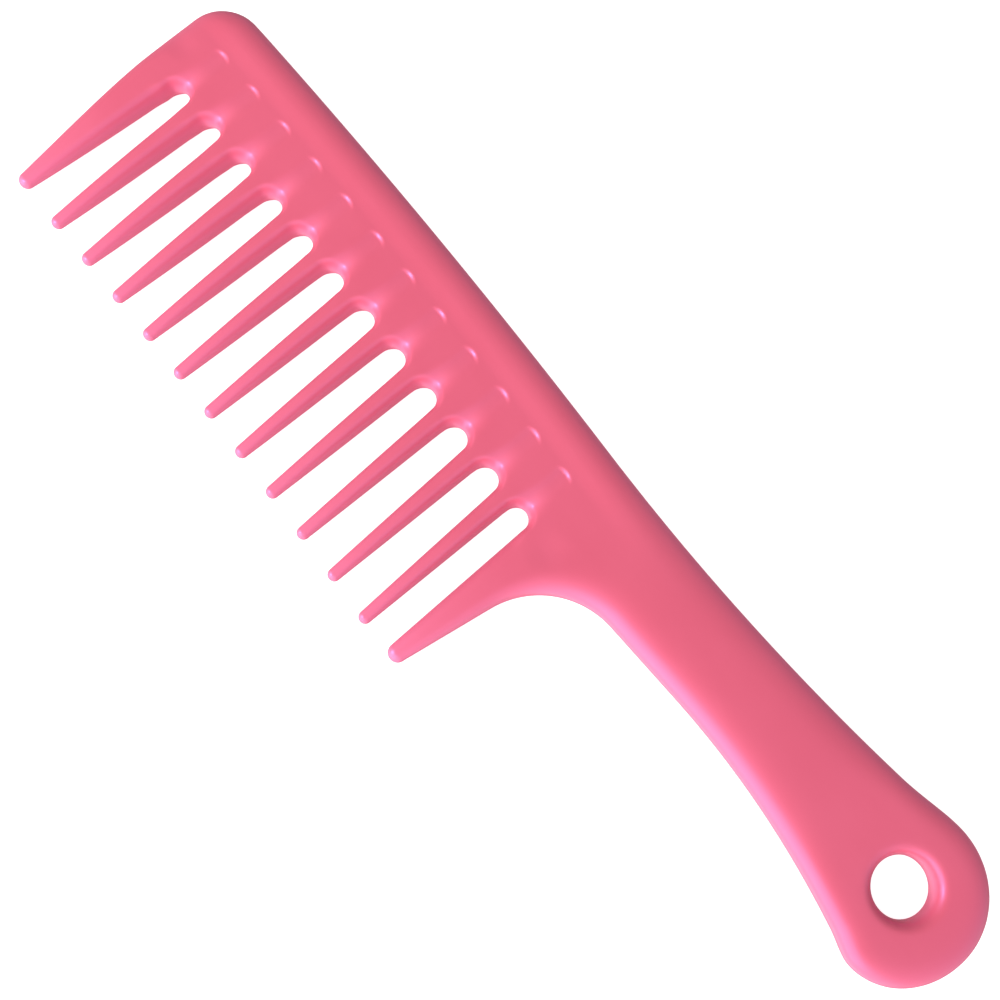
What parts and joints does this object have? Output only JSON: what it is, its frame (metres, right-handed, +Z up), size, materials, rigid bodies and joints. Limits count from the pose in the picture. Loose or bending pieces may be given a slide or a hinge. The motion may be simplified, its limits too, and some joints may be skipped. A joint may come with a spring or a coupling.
{
  "type": "wide tooth comb",
  "caption": "Flat wide tooth comb with thick tapered teeth between broad guard teeth, a crowned back, a waisted handle and a hanging hole in its round end.",
  "frame": {"origin": "middle of the comb's length and width, on the plane of its flat underside", "axes": "+X along the comb from the toothed head to the handle's end, +Y across it towards the back edge, so the teeth point to -Y, +Z up through its thickness"},
  "size_m": [0.2352, 0.0636, 0.008],
  "materials": {
    "pink_plastic": "smooth moulded gloss, slightly translucent pink"
  },
  "bodies": {
    "root": {"back_bar": "pink_plastic", "front_guard_tooth": "pink_plastic", "tooth_02": "pink_plastic", "tooth_03": "pink_plastic", "tooth_04": "pink_plastic", "tooth_05": "pink_plastic", "tooth_06": "pink_plastic", "tooth_07": "pink_plastic", "tooth_08": "pink_plastic", "tooth_09": "pink_plastic", "tooth_10": "pink_plastic", "tooth_11": "pink_plastic", "tooth_12": "pink_plastic", "rear_guard_tooth": "pink_plastic", "neck": "pink_plastic", "handle_grip": "pink_plastic", "hang_end": "pink_plastic"}
  },
  "joints": []
}
